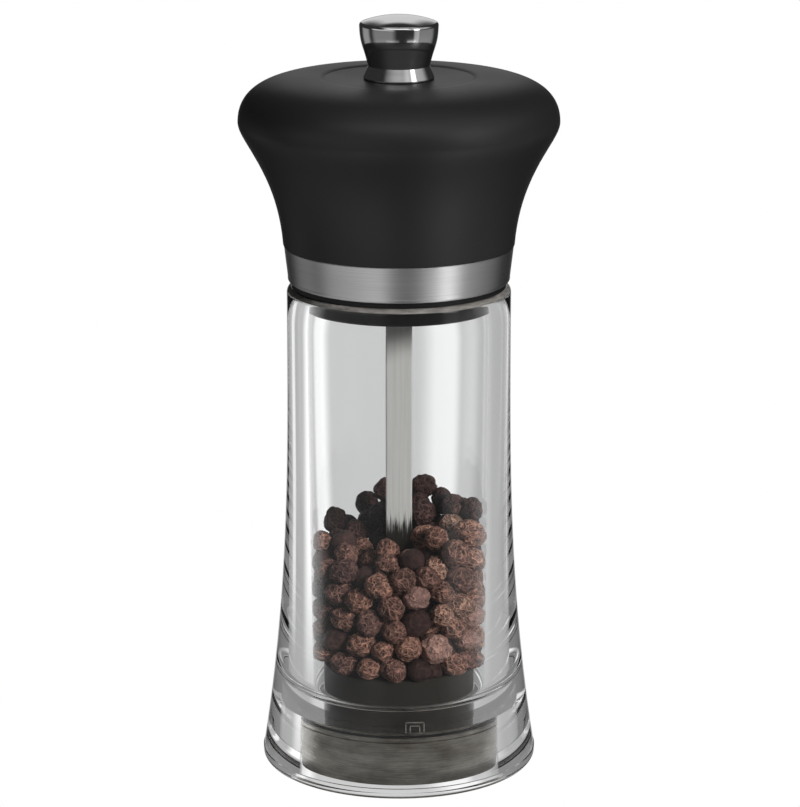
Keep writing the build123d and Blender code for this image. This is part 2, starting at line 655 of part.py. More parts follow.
# ---------------------------------------------------------------- knob
with BuildPart() as knob_washer:
    with BuildSketch(Plane.XY.offset(DISH_Z - 0.5)):
        Circle(WASHER_SEAT_R - 0.4)
        Circle(CROWN_BORE_R - 0.1, mode=Mode.SUBTRACT)
    extrude(amount=WASHER_SEAT_DEPTH - 0.03)
knob_washer.part.label = "knob_washer"
export_step(knob_washer.part, "parts/knob_washer.step")

# Solid turned knob: flared foot, narrow neck, cup-shaped grip and domed top.
with BuildPart() as knob:
    with BuildSketch(Plane.XZ):
        with BuildLine():
            Line((INSERT_R, KNOB_BASE), (KNOB_FOOT_R - 0.15, KNOB_BASE))
            Line((KNOB_FOOT_R - 0.15, KNOB_BASE), (KNOB_FOOT_R, KNOB_BASE + 0.15))
            Line((KNOB_FOOT_R, KNOB_BASE + 0.15), (KNOB_FOOT_R, KNOB_BASE + 0.35))
            Line((KNOB_FOOT_R, KNOB_BASE + 0.35), (KNOB_NECK_R, KNOB_NECK_Z))
            cup = Spline(
                (KNOB_NECK_R, KNOB_NECK_Z),
                (6.25, 137.5),
                (6.95, 139.7),
                (7.42, 143.2),
                tangents=((0.3, 1), (0.03, 1)),
            )
            TangentArc(cup @ 1, KNOB_RIM, tangent=(0, 1))
            TangentArc((0, KNOB_TOP), KNOB_RIM, tangent=(1, 0))
            Polyline(
                (0, KNOB_TOP),
                (0, INSERT_TOP + 0.7),
                (THREAD_R + SLIDE_GAP, INSERT_TOP + 0.7),
                (THREAD_R + SLIDE_GAP, INSERT_TOP),
                (INSERT_R, INSERT_TOP),
                (INSERT_R, KNOB_BASE),
            )
        make_face()
    revolve(axis=Axis.Z)
knob.part.label = "knob"
export_step(knob.part, "parts/knob.step")

with BuildPart() as knob_insert:
    with BuildSketch(Plane.XY.offset(KNOB_BASE + 0.1)):
        Circle(INSERT_R)
        Circle(THREAD_R + SLIDE_GAP, mode=Mode.SUBTRACT)
    extrude(amount=INSERT_TOP - KNOB_BASE - 0.1)
knob_insert.part.label = "knob_insert"
export_step(knob_insert.part, "parts/knob_insert.step")
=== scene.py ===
"""Looks for the pepper mill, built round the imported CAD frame. Metres, +Z up."""

import math

import bpy
import numpy as np
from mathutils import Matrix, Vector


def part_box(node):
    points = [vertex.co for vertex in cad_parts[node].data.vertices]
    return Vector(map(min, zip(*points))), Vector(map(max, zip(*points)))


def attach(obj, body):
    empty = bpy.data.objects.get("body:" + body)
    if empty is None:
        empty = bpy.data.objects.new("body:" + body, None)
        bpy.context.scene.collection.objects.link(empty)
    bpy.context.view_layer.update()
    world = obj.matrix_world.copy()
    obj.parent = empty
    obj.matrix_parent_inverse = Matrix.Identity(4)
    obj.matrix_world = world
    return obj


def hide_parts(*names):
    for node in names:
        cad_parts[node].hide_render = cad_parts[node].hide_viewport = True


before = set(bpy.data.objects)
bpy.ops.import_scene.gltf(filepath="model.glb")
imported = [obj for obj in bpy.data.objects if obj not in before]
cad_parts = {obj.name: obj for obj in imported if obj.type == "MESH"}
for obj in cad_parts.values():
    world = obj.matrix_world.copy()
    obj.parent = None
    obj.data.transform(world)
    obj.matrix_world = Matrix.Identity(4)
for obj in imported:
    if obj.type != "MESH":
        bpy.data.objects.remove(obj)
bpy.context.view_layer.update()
scene = bpy.context.scene
MM = 0.001
rng = np.random.default_rng(20)

# ------------------------------------------------------------------ sizes, from the frame
body_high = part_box("clear_body")[1]
BODY_TOP = body_high.z
FOOT_R = body_high.x


# ------------------------------------------------------------------ mesh helpers
def bezier(p0, p1, p2, p3, count):
    """Points along a cubic Bezier, the first one left out."""
    t = np.linspace(0, 1, count + 1)[1:, None]
    p0, p1, p2, p3 = (np.array(p, float) for p in (p0, p1, p2, p3))
    s = 1 - t
    return [tuple(p) for p in s ** 3 * p0 + 3 * s ** 2 * t * p1 + 3 * s * t ** 2 * p2 + t ** 3 * p3]


def arc(centre, radius, start, end, count):
    """Points along an arc about centre, from start to end degrees, the first one left out."""
    angles = np.radians(np.linspace(start, end, count + 1)[1:])
    return [(centre[0] + radius * math.cos(a), centre[1] + radius * math.sin(a)) for a in angles]


def line(start, end, count):
    """Points along a straight line, the first one left out."""
    start, end = np.array(start), np.array(end)
    return [tuple(start + (end - start) * k / count) for k in range(1, count + 1)]


def lathe(name, profile, segments=256, sharp=30.0):
    """A closed mesh turned from a closed half-section of (radius, height) points in millimetres."""
    points = [(r * MM, z * MM) for r, z in profile]
    verts, rings = [], []
    for r, z in points:
        if r < 1e-7:
            rings.append([len(verts)])
            verts.append((0.0, 0.0, z))
            continue
        rings.append(list(range(len(verts), len(verts) + segments)))
        for k in range(segments):
            a = 2 * math.pi * k / segments
            verts.append((r * math.cos(a), r * math.sin(a), z))
    faces = []
    for i in range(len(rings)):
        low, high = rings[i], rings[(i + 1) % len(rings)]
        if len(low) == 1 and len(high) == 1:
            continue
        for k in range(segments):
            n = (k + 1) % segments
            if len(low) == 1:
                faces.append((low[0], high[n], high[k]))
            elif len(high) == 1:
                faces.append((low[k], low[n], high[0]))
            else:
                faces.append((low[k], low[n], high[n], high[k]))
    mesh = bpy.data.meshes.new(name)
    mesh.from_pydata(verts, [], faces)
    mesh.shade_smooth()
    mesh.set_sharp_from_angle(angle=math.radians(sharp))
    piece = bpy.data.objects.new(name, mesh)
    scene.collection.objects.link(piece)
    return piece


# ------------------------------------------------------------------ material helpers
class Shader:
    """A material's node tree, with short calls for the nodes used here."""

    def __init__(self, name):
        self.material = bpy.data.materials.new(name)
        self.material.use_nodes = True
        self.tree = self.material.node_tree
        self.tree.nodes.clear()
        self.output = self.tree.nodes.new("ShaderNodeOutputMaterial")
        self.bsdf = self.tree.nodes.new("ShaderNodeBsdfPrincipled")
        self.link(self.bsdf.outputs[0], self.output.inputs[0])

    def node(self, kind, **settings):
        made = self.tree.nodes.new("ShaderNode" + kind)
        for key, value in settings.items():
            setattr(made, key, value)
        return made

    def link(self, source, target):
        self.tree.links.new(source, target)

    def set(self, **values):
        for key, value in values.items():
            self.bsdf.inputs[key.replace("_", " ")].default_value = value
        return self

    def position(self):
        return self.node("TexCoord").outputs["Object"]

    def scaled(self, vector, scale):
        mapping = self.node("Mapping")
        mapping.inputs["Scale"].default_value = scale
        self.link(vector, mapping.inputs["Vector"])
        return mapping.outputs[0]

    def noise(self, vector, scale, detail=4.0, roughness=0.55):
        made = self.node("TexNoise")
        self.link(vector, made.inputs["Vector"])
        made.inputs["Scale"].default_value = scale
        made.inputs["Detail"].default_value = detail
        made.inputs["Roughness"].default_value = roughness
        return made.outputs["Fac"]

    def ramp(self, factor, stops):
        made = self.node("ValToRGB")
        elements = made.color_ramp.elements
        while len(elements) < len(stops):
            elements.new(0.5)
        for element, (place, colour) in zip(elements, stops):
            element.position = place
            element.color = (*colour, 1.0)
        self.link(factor, made.inputs[0])
        return made.outputs["Color"]

    def spread(self, factor, low, high):
        """factor, stretched from 0..1 to low..high."""
        made = self.node("MapRange")
        self.link(factor, made.inputs["Value"])
        made.inputs["To Min"].default_value = low
        made.inputs["To Max"].default_value = high
        return made.outputs["Result"]

    def bump(self, height, strength, distance):
        made = self.node("Bump")
        made.inputs["Strength"].default_value = strength
        made.inputs["Distance"].default_value = distance
        self.link(height, made.inputs["Height"])
        self.link(made.outputs[0], self.bsdf.inputs["Normal"])
        return made


def give(piece, material):
    piece.data.materials.clear()
    piece.data.materials.append(material)


def moulded_plastic(name, colour, roughness, grain=0.0004):
    """Moulded plastic with a fine even grain and slightly uneven gloss."""
    s = Shader(name).set(Base_Color=(*colour, 1), IOR=1.49)
    p = s.position()
    s.link(s.spread(s.noise(p, 90, 3), roughness - 0.04, roughness + 0.04), s.bsdf.inputs["Roughness"])
    s.bump(s.noise(p, 2600, 2), 0.12, grain * 0.1)
    return s.material


def turned_metal(name, colour, roughness, lines=5200, strength=0.25, aniso=0.9):
    """Metal with fine brushing round the axis: noise that changes quickly with height and slowly round it."""
    s = Shader(name).set(Metallic=1.0, Anisotropic=aniso, Anisotropic_Rotation=0.25)
    p = s.position()
    streaks = s.noise(s.scaled(p, (60, 60, lines)), 1.0, 5, 0.6)
    broad = s.noise(s.scaled(p, (25, 25, 400)), 1.0, 3)
    dark = tuple(c * 0.86 for c in colour)
    light = tuple(min(1.0, c * 1.08) for c in colour)
    s.link(s.ramp(streaks, ((0.25, dark), (0.75, light))), s.bsdf.inputs["Base Color"])
    s.link(s.spread(broad, roughness - 0.05, roughness + 0.07), s.bsdf.inputs["Roughness"])
    s.bump(streaks, strength, 0.00002)
    tangent = s.node("Tangent", direction_type="RADIAL", axis="Z")
    s.link(tangent.outputs[0], s.bsdf.inputs["Tangent"])
    return s.material


def smooth_metal(name, colour, roughness):
    """Plain bright metal with faint handling marks."""
    s = Shader(name).set(Metallic=1.0, Base_Color=(*colour, 1))
    p = s.position()
    marks = s.noise(p, 700, 6, 0.7)
    s.link(s.spread(marks, max(0.01, roughness - 0.06), roughness + 0.08), s.bsdf.inputs["Roughness"])
    s.bump(marks, 0.06, 0.00002)
    return s.material


HEAP_REFLECTION_FULL = 0.0540      # height up to which the shaft is painted dark, as a reflection of the heap
HEAP_REFLECTION_END = 0.0572       # height at which the last streak of the painted reflection stops
HEAP_REFLECTION_RAGGED = 0.016     # how far single streaks reach past their neighbours


def drawn_metal(name, colour, roughness):
    """Dull drawn metal, a quarter mirror and the rest scatter. It has lengthways die lines, specks, and a
    painted reflection
    of the dark heap: ragged dark streaks painted onto the part standing in the heap."""
    s = Shader(name).set(Metallic=0.25)
    p = s.position()
    die_lines = s.noise(s.scaled(p, (2600, 2600, 60)), 1.0, 4, 0.6)
    specks = s.noise(p, 1100, 3, 0.8)
    dark = tuple(c * 0.88 for c in colour)
    base = s.ramp(die_lines, ((0.3, dark), (0.7, colour)))
    height = s.node("SeparateXYZ")
    s.link(p, height.inputs[0])
    # Painted reflection: below a ragged line the colour is made nearly black, for the dark heap mirrored in
    # the shaft.
    reflection_line = s.node("Math", operation="MULTIPLY_ADD")
    s.link(s.noise(s.scaled(p, (2400, 2400, 110)), 1.0, 4, 0.7), reflection_line.inputs[0])
    reflection_line.inputs[1].default_value = HEAP_REFLECTION_RAGGED
    s.link(height.outputs[2], reflection_line.inputs[2])
    heap_reflection = s.node("MapRange", interpolation_type="SMOOTHSTEP")
    s.link(reflection_line.outputs[0], heap_reflection.inputs["Value"])
    heap_reflection.inputs["From Min"].default_value = HEAP_REFLECTION_FULL
    heap_reflection.inputs["From Max"].default_value = HEAP_REFLECTION_END
    for factor, stops in (
        (specks, ((0.22, (0.55, 0.55, 0.52)), (0.32, (1, 1, 1)))),
        (heap_reflection.outputs["Result"], ((0.0, (0.035, 0.032, 0.028)), (1.0, (1, 1, 1)))),
    ):
        shade = s.node("Mix", data_type="RGBA", blend_type="MULTIPLY")
        shade.inputs["Factor"].default_value = 1.0
        s.link(base, shade.inputs[6])
        s.link(s.ramp(factor, stops), shade.inputs[7])
        base = shade.outputs[2]
    s.link(base, s.bsdf.inputs["Base Color"])
    s.link(s.spread(die_lines, roughness - 0.08, roughness + 0.08), s.bsdf.inputs["Roughness"])
    s.bump(die_lines, 0.15, 0.00003)
    return s.material


def base_steel():
    """Grey-beige steel of the base cup: a dull mirror with mottling, level scratches and darker stains."""
    s = Shader("cup_steel").set(Metallic=1.0)
    p = s.position()
    scratches = s.noise(s.scaled(p, (220, 220, 5200)), 1.0, 5, 0.7)
    mottle = s.noise(s.scaled(p, (240, 240, 420)), 1.0, 4, 0.6)
    stains = s.noise(s.scaled(p, (90, 90, 260)), 1.0, 3, 0.5)
    base = s.ramp(scratches, (
        (0.3, (0.42, 0.395, 0.35)),
        (0.5, (0.64, 0.605, 0.54)),
        (0.72, (0.92, 0.87, 0.78)),
    ))
    for pattern, stops in (
        (mottle, ((0.3, (0.62, 0.62, 0.62)), (0.7, (1.0, 1.0, 1.0)))),
        (stains, ((0.35, (0.62, 0.60, 0.58)), (0.55, (1.0, 1.0, 1.0)))),
    ):
        shade = s.node("Mix", data_type="RGBA", blend_type="MULTIPLY")
        shade.inputs["Factor"].default_value = 1.0
        s.link(base, shade.inputs[6])
        s.link(s.ramp(pattern, stops), shade.inputs[7])
        base = shade.outputs[2]
    s.link(base, s.bsdf.inputs["Base Color"])
    s.link(s.spread(mottle, 0.26, 0.46), s.bsdf.inputs["Roughness"])
    s.bump(scratches, 0.3, 0.00004)
    return s.material


SHADOW_PASS = 0.93      # share of the light that reaches what is inside the clear body


def clear_acrylic():
    """Polished clear plastic. Shadow rays pass straight through it, so the lamp lights what is inside."""
    s = Shader("clear_acrylic").set(
        Base_Color=(0.985, 0.99, 0.99, 1), Roughness=0.0, IOR=1.49, Transmission_Weight=1.0
    )
    path = s.node("LightPath")
    open_shader = s.node("BsdfTransparent")
    open_shader.inputs[0].default_value = (SHADOW_PASS, SHADOW_PASS, SHADOW_PASS, 1)
    mix = s.node("MixShader")
    s.link(path.outputs["Is Shadow Ray"], mix.inputs[0])
    s.link(s.bsdf.outputs[0], mix.inputs[1])
    s.link(open_shader.outputs[0], mix.inputs[2])
    s.link(mix.outputs[0], s.output.inputs[0])
    return s.material


# ------------------------------------------------------------------ camera, floor, light
CAMERA_LENS = 157.9                     # millimetres, on a 36 mm sensor
CAMERA_PLACE = (0.0002, -0.653, 0.243)
CAMERA_DIP = 14.79                      # degrees below the horizon
FLOOR_HALF = 4.0
FLOOR_Z = -0.0001
LAMP_STRENGTH = 2.9
LAMP_WIDTH = 18                         # degrees
LAMP_TURN = (64, 0, 40)                 # degrees

camera_data = bpy.data.cameras.new("camera")
camera_data.lens = CAMERA_LENS
camera_data.sensor_width = 36
camera_data.clip_start = 0.01
camera = bpy.data.objects.new("camera", camera_data)
camera.location = CAMERA_PLACE
camera.rotation_euler = (math.radians(90 - CAMERA_DIP), 0, 0)
scene.collection.objects.link(camera)
scene.camera = camera

# A white floor that neither lights the mill nor takes its shadow.
floor_mesh = bpy.data.meshes.new("floor")
floor_corners = [(x * FLOOR_HALF, y * FLOOR_HALF, FLOOR_Z) for x, y in ((-1, -1), (1, -1), (1, 1), (-1, 1))]
floor_mesh.from_pydata(floor_corners, [], [(0, 1, 2, 3)])
floor = bpy.data.objects.new("floor", floor_mesh)
scene.collection.objects.link(floor)
paper = bpy.data.materials.new("white_paper")
paper.use_nodes = True
paper.node_tree.nodes.clear()
lit = paper.node_tree.nodes.new("ShaderNodeEmission")
paper.node_tree.links.new(lit.outputs[0], paper.node_tree.nodes.new("ShaderNodeOutputMaterial").inputs[0])
give(floor, paper)
floor.visible_diffuse = floor.visible_glossy = floor.visible_transmission = floor.visible_shadow = False

# A soft lamp over the right shoulder. It only scatters: it isn't mirrored, and isn't seen through the body.
key = bpy.data.objects.new("key", bpy.data.lights.new("key", "SUN"))
key.data.energy = LAMP_STRENGTH
key.data.angle = math.radians(LAMP_WIDTH)
key.rotation_euler = [math.radians(turn) for turn in LAMP_TURN]
key.visible_glossy = key.visible_transmission = False
scene.collection.objects.link(key)

# Soft panels in the world round the mill. Azimuth is measured from -Y towards +X, elevation from the horizon,
# both in degrees; soft is the width of the faded edge. There are two sets, picked by the kind of ray.
#    azimuth  half width  low   high  soft  radiance
THROUGH = (                                         # table and backdrop, seen only through the body
    (180,        80, -100,    10,    14,   0.58),
    (0,         100, -100,    10,    14,   0.22),
    (180,       180,   10,    80,    20,   0.30),
    (180,        16,  -27,    -5,     8,   0.22),
    (174.5,     2.6,  -27,    -5,     5,   0.45),   # streak right of the shaft
    (-162,        5,  -27,    -5,     9,   0.75),   # streak by the left edge of the bore
    (-116,       16,  -27,    -5,    18,   0.95),
    (88,         36,  -27,    -5,    20,   0.25),
)
PANELS = (                                          # what the surfaces reflect and what lights them
    (-114,       16,  -27,    -5,    18,   0.35),
    (90,         30,  -27,    -5,    20,   0.25),
    (180,        15,  -27,    -5,    10,   0.60),   # table behind
    (180,         9,    0,    38,     8,   0.80),   # backdrop, on the knob's dome
    (75,         14,   44,    66,    10,   0.80),
    (54,          8,    2,    30,     8,   3.60),   # right softbox, and its image in the table
    (54,          8,  -27,    -8,     8,   0.45),
    (54,          8,  -65,   -28,    12,   1.70),
    (66,         40,   14,    48,    30,   0.55),
    (66,         40,  -65,   -28,    30,   0.38),
    (-104,       18,  -65,   -28,    20,   0.35),
    (-8,         46,   36,    62,    18,   1.50),   # broad softbox over the camera
    (0,         180,   64,   100,    14,   0.35),   # ceiling
    (-48,        34,  -27,    -5,    20,   0.24),   # left card, and its image in the table
    (-48,        34,   -2,    16,    14,   0.80),
    (-48,        34,  -65,   -28,    20,   0.62),
    (-20,         8,  -65,   -28,     8,   0.40),
    (40,         14,  -38,   -24,     8,   0.90),   # bright table in front, on the knob's side
    (-20,        20,  -38,   -24,     8,   0.30),
)
AMBIENT = 0.035         # light from between the panels
THROUGH_AMBIENT = 0.02  # the same for the set seen through the body


def studio_world():
    """A sky of soft panels. The camera sees plain white behind the mill. A ray that has just passed through
    the clear body sees THROUGH, and every other ray sees PANELS. A ray that scattered inside the body sees
    nothing as it leaves, because its light has come by shadow rays already."""
    world = bpy.data.worlds.new("studio")
    scene.world = world
    world.use_nodes = True
    tree = world.node_tree
    tree.nodes.clear()

    def math_node(operation, first, second=None, third=None):
        made = tree.nodes.new("ShaderNodeMath")
        made.operation = operation
        for slot, value in enumerate((first, second, third)):
            if isinstance(value, (int, float)):
                made.inputs[slot].default_value = value
            elif value is not None:
                tree.links.new(value, made.inputs[slot])
        return made.outputs[0]

    def inside(value, half_width, soft):
        """1 while |value| is under half_width, fading to 0 over soft."""
        made = tree.nodes.new("ShaderNodeMapRange")
        made.interpolation_type = "SMOOTHSTEP"
        tree.links.new(math_node("ABSOLUTE", value), made.inputs["Value"])
        made.inputs["From Min"].default_value = half_width + soft / 2
        made.inputs["From Max"].default_value = max(0.0, half_width - soft / 2)
        return made.outputs["Result"]

    direction = tree.nodes.new("ShaderNodeSeparateXYZ")
    tree.links.new(tree.nodes.new("ShaderNodeTexCoord").outputs["Generated"], direction.inputs[0])
    x, y, z = direction.outputs
    azimuth = math_node("ARCTAN2", x, math_node("MULTIPLY", y, -1.0))
    elevation = math_node("ARCSINE", z)

    def glow(panels, start):
        total = start
        for centre, half_width, low, high, soft, radiance in panels:
            turned = math_node("SUBTRACT", azimuth, math.radians(centre))
            turned = math_node("WRAP", turned, math.pi, -math.pi)
            raised = math_node("SUBTRACT", elevation, math.radians((low + high) / 2))
            panel = math_node(
                "MULTIPLY",
                inside(turned, math.radians(half_width), math.radians(min(soft, half_width))),
                inside(raised, math.radians((high - low) / 2), math.radians(soft)),
            )
            total = math_node("MULTIPLY_ADD", panel, radiance, total)
        return total

    path = tree.nodes.new("ShaderNodeLightPath")
    unscattered = math_node("LESS_THAN", path.outputs["Diffuse Depth"], 0.5)
    seen_through = math_node("MULTIPLY", glow(THROUGH, THROUGH_AMBIENT), unscattered)
    around = glow(PANELS, AMBIENT)
    change = math_node("SUBTRACT", seen_through, around)
    total = math_node("MULTIPLY_ADD", change, path.outputs["Is Transmission Ray"], around)
    background = tree.nodes.new("ShaderNodeBackground")
    tree.links.new(total, background.inputs["Strength"])
    plain = tree.nodes.new("ShaderNodeBackground")
    plain.inputs["Color"].default_value = (1, 1, 1, 1)
    mix = tree.nodes.new("ShaderNodeMixShader")
    tree.links.new(path.outputs["Is Camera Ray"], mix.inputs[0])
    tree.links.new(background.outputs[0], mix.inputs[1])
    tree.links.new(plain.outputs[0], mix.inputs[2])
    tree.links.new(mix.outputs[0], tree.nodes.new("ShaderNodeOutputWorld").inputs[0])


studio_world()

# Light caught in the thick foot takes many turns to get out; with fewer it would end as black patches.
BOUNCES = 24
scene.view_settings.view_transform = "Standard"
scene.cycles.transmission_bounces = BOUNCES
scene.cycles.glossy_bounces = BOUNCES
scene.cycles.transparent_max_bounces = BOUNCES
scene.cycles.max_bounces = BOUNCES + 8


# ------------------------------------------------------------------ clear body
def body_profile():
    """The clear body's half-section, in millimetres: outside from the floor up, then the bore down."""
    foot_r = FOOT_R / MM
    top = BODY_TOP / MM
    wall_r, mouth_r, bore_r, throat_r, recess_r = 21.22, 17.5, 17.2, 15.15, 19.5
    underside_r, foot_round, top_round, lip_round = 20.0, 1.5, 1.2, 0.4
    flare_r, flare_low, flare_high = foot_r - 0.12, 2.4, 89.2     # the flare starts above a small step
    bore_low, throat_high, ledge = 18.2, 14.4, 11.4
    points = [(underside_r, 0), (foot_r - foot_round, 0)]
    points += arc((foot_r - foot_round, foot_round), foot_round, -90, 0, 10)
    points += [(foot_r, 2.28), (flare_r, flare_low)]
    points += bezier((flare_r, flare_low), (wall_r, 34.3), (wall_r, 61.2), (wall_r, flare_high), 60)
    points += [(wall_r, top - top_round)]
    points += arc((wall_r - top_round, top - top_round), top_round, 0, 90, 10)
    points += arc((mouth_r + lip_round, top - lip_round), lip_round, 90, 180, 5)
    points += line(points[-1], (bore_r, bore_low), 12)
    points += bezier((bore_r, bore_low), (bore_r, 15.4), (bore_r - 0.4, 15.0), (throat_r, throat_high), 14)
    points += [(throat_r, ledge), (recess_r, ledge)]
    return points


acrylic = lathe("clear_body_shell", body_profile(), 256)
give(acrylic, clear_acrylic())
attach(acrylic, "mill_body")
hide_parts("clear_body")


def notch_frame():
    """The matt edges of the notch, as thin bars: an outer frame, and an arch inset in it. Millimetres."""
    half, near, low, high = 1.65, -17.75, 10.7, 13.1
    thick, deep, centre_x = 0.16, 0.25, 2.75
    inset_x, inset_z = 0.75, 0.7
    verts, faces = [], []
    for x0, x1, z0, z1 in (
        (-half, -half + thick, low, high),
        (half - thick, half, low, high),
        (-half, half, low, low + thick),
        (-half, half, high - thick, high),
        (-half + inset_x, -half + inset_x + thick, low + inset_z, high - inset_z),
        (half - inset_x - thick, half - inset_x, low + inset_z, high - inset_z),
        (-half + inset_x, half - inset_x, high - inset_z - thick, high - inset_z),
    ):
        start = len(verts)
        for y0 in (near, near + deep):
            for x, z in ((x0, z0), (x1, z0), (x1, z1), (x0, z1)):
                verts.append(((centre_x + x) * MM, y0 * MM, z * MM))
        for face in ((0, 1, 2, 3), (7, 6, 5, 4), (0, 4, 5, 1), (1, 5, 6, 2), (2, 6, 7, 3), (3, 7, 4, 0)):
            faces.append([start + k for k in face])
    mesh = bpy.data.meshes.new("clear_body_notch")
    mesh.from_pydata(verts, [], faces)
    frame_piece = bpy.data.objects.new("clear_body_notch", mesh)
    scene.collection.objects.link(frame_piece)
    return frame_piece


def rim_profile():
    """The matt top edge of the body, just inside the polished surface."""
    top = BODY_TOP / MM - 0.02
    inner_r, outer_r, bottom = 17.6, 21.1, top - 0.75
    bevel, round_r, round_x = 0.35, 1.18, 20.02
    points = [(inner_r, bottom), (outer_r, bottom)]
    points += arc((round_x, top - round_r), round_r, 22, 90, 10)
    points += [(inner_r + bevel, top), (inner_r, top - bevel)]
    return points


rim = lathe("clear_body_rim", rim_profile(), 256)
matt = Shader("acrylic_matt").set(IOR=1.49)
matt_place = matt.position()
matt_streaks = matt.noise(matt.scaled(matt_place, (500, 500, 2500)), 1.0, 4)
matt_colour = matt.ramp(matt_streaks, ((0.3, (0.16, 0.15, 0.14)), (0.7, (0.34, 0.32, 0.30))))
matt.link(matt_colour, matt.bsdf.inputs["Base Color"])
matt.link(matt.spread(matt.noise(matt_place, 800, 3), 0.35, 0.6), matt.bsdf.inputs["Roughness"])
for piece in (rim, notch_frame()):
    give(piece, matt.material)
    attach(piece, "mill_body")
    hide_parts("clear_body")

# ------------------------------------------------------------------ materials of the CAD nodes
BLACK = (0.011, 0.011, 0.011)
looks = {
    "crown_shell": moulded_plastic("crown_black", BLACK, 0.46),
    "crown_liner": moulded_plastic("liner_black", (0.003, 0.003, 0.003), 0.55),
    # The black seal is partly a rubber seal and partly a painted shadow, standing for the dark line of the
    # gap at the cup's top edge.
    "cup_seal": moulded_plastic("seal_rubber", (0.012, 0.012, 0.012), 0.6),
    "bridge_plate": moulded_plastic("bridge_black", (0.03, 0.028, 0.026), 0.5),
    "grinder_housing": moulded_plastic("housing_dark", (0.026, 0.023, 0.019), 0.5),
    "base_ring": moulded_plastic("base_ring_black", (0.02, 0.02, 0.02), 0.45),
    "steel_band": turned_metal("band_steel", (0.97, 0.97, 0.96), 0.44, lines=7000, strength=0.12),
    "base_cup": base_steel(),
    "knob": smooth_metal("knob_chrome", (0.82, 0.82, 0.83), 0.05),
    "drive_shaft": drawn_metal("shaft_aluminium", (0.95, 0.945, 0.91), 0.42),
    "grinding_cone": turned_metal("cone_steel", (0.36, 0.36, 0.37), 0.4),
    "grinding_ring": turned_metal("ring_steel", (0.40, 0.40, 0.40), 0.4),
    "guide_bush": moulded_plastic("bush_acetal", (0.62, 0.61, 0.56), 0.4),
    "knob_washer": moulded_plastic("washer_nylon", (0.7, 0.69, 0.65), 0.45),
    "knob_insert": turned_metal("insert_brass", (0.66, 0.48, 0.2), 0.3),
    "lift_spring": smooth_metal("spring_wire", (0.5, 0.5, 0.5), 0.25),
    "bush_clip": smooth_metal("clip_steel", (0.4, 0.4, 0.4), 0.3),
}
zinc = smooth_metal("zinc_steel", (0.58, 0.58, 0.56), 0.3)
for node in (
    "plate_screws", "base_screws", "drive_screws", "cone_screw", "cone_washer", "spring_seat", "drive_plate",
):
    looks[node] = zinc
for node, material in looks.items():
    give(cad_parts[node], material)


# ------------------------------------------------------------------ peppercorns
SHAFT_CLEAR = 3.3 * MM       # keeps the berries off the square shaft
BORE_CLEAR = 17.15 * MM
RIM_R = 13.0 * MM            # inside this radius the berries sink to the bridge plate
RIM_TOP = 20.3 * MM
BRIDGE_TOP = 18.2 * MM
HEAP_TOP = 47.8 * MM         # height of the heap on the axis
HEAP_SLOPE = (0.18, 0.25)    # rise of the heap along X and Y
BERRY_R = 2.42               # mean radius in millimetres, its spread, and the least and the most
BERRY_SPREAD = 0.19
BERRY_RANGE = (2.0, 2.85)
SETTLE_STEPS = 420           # the berries sink fast at first, then slowly
FAST_STEPS = 300
DROPPED = 300                # berries dropped; those over the heap's surface are taken away
SMOOTH_SHARE = 0.16          # share of the berries with a smooth skin


def settle(count):
    """Drops spheres into the bore until they rest on each other. Returns centres and radii."""
    radii = np.clip(rng.normal(BERRY_R, BERRY_SPREAD, count), *BERRY_RANGE) * MM
    angle = rng.uniform(0, 2 * math.pi, count)
    away = np.sqrt(rng.uniform(0.08, 0.75, count)) * BORE_CLEAR
    centres = np.column_stack((away * np.cos(angle), away * np.sin(angle), rng.uniform(23, 80, count) * MM))
    first, second = np.triu_indices(count, 1)
    for step in range(SETTLE_STEPS):
        centres[:, 2] -= 0.35 * MM if step < FAST_STEPS else 0.08 * MM
        for _ in range(5):
            gap = centres[second] - centres[first]
            distance = np.linalg.norm(gap, axis=1) + 1e-9
            overlap = radii[first] + radii[second] - distance
            hit = overlap > 0
            push = gap[hit] / distance[hit, None] * overlap[hit, None] * 0.5
            np.add.at(centres, first[hit], -push)
            np.add.at(centres, second[hit], push)
            flat = np.hypot(centres[:, 0], centres[:, 1]) + 1e-9
            limited = np.clip(flat, SHAFT_CLEAR + radii * 0.96, BORE_CLEAR - radii)
            centres[:, :2] *= (limited / flat)[:, None]
            ground = np.where(limited > RIM_R, RIM_TOP, BRIDGE_TOP) + radii * 0.98
            centres[:, 2] = np.maximum(centres[:, 2], ground)
    return centres, radii


def ball(divisions):
    """Directions and quads of a sphere made from a cube, evenly divided."""
    verts, faces, index = [], [], {}
    ticks = np.tan(np.linspace(-1, 1, divisions + 1) * math.pi / 4)

    def corner(p):
        key = tuple(round(c, 6) for c in p)
        if key not in index:
            index[key] = len(verts)
            verts.append(np.array(p) / np.linalg.norm(p))
        return index[key]

    for axis in range(3):
        for sign in (-1, 1):
            for i in range(divisions):
                for j in range(divisions):
                    square = []
                    for a, b in ((i, j), (i + 1, j), (i + 1, j + 1), (i, j + 1)):
                        p = [0.0, 0.0, 0.0]
                        p[axis] = float(sign)
                        p[(axis + 1) % 3] = ticks[a] * sign
                        p[(axis + 2) % 3] = ticks[b]
                        square.append(corner(p))
                    faces.append(square)
    return np.array(verts), np.array(faces)


def unit_points(count):
    points = rng.normal(size=(count, 3))
    return points / np.linalg.norm(points, axis=1, keepdims=True)


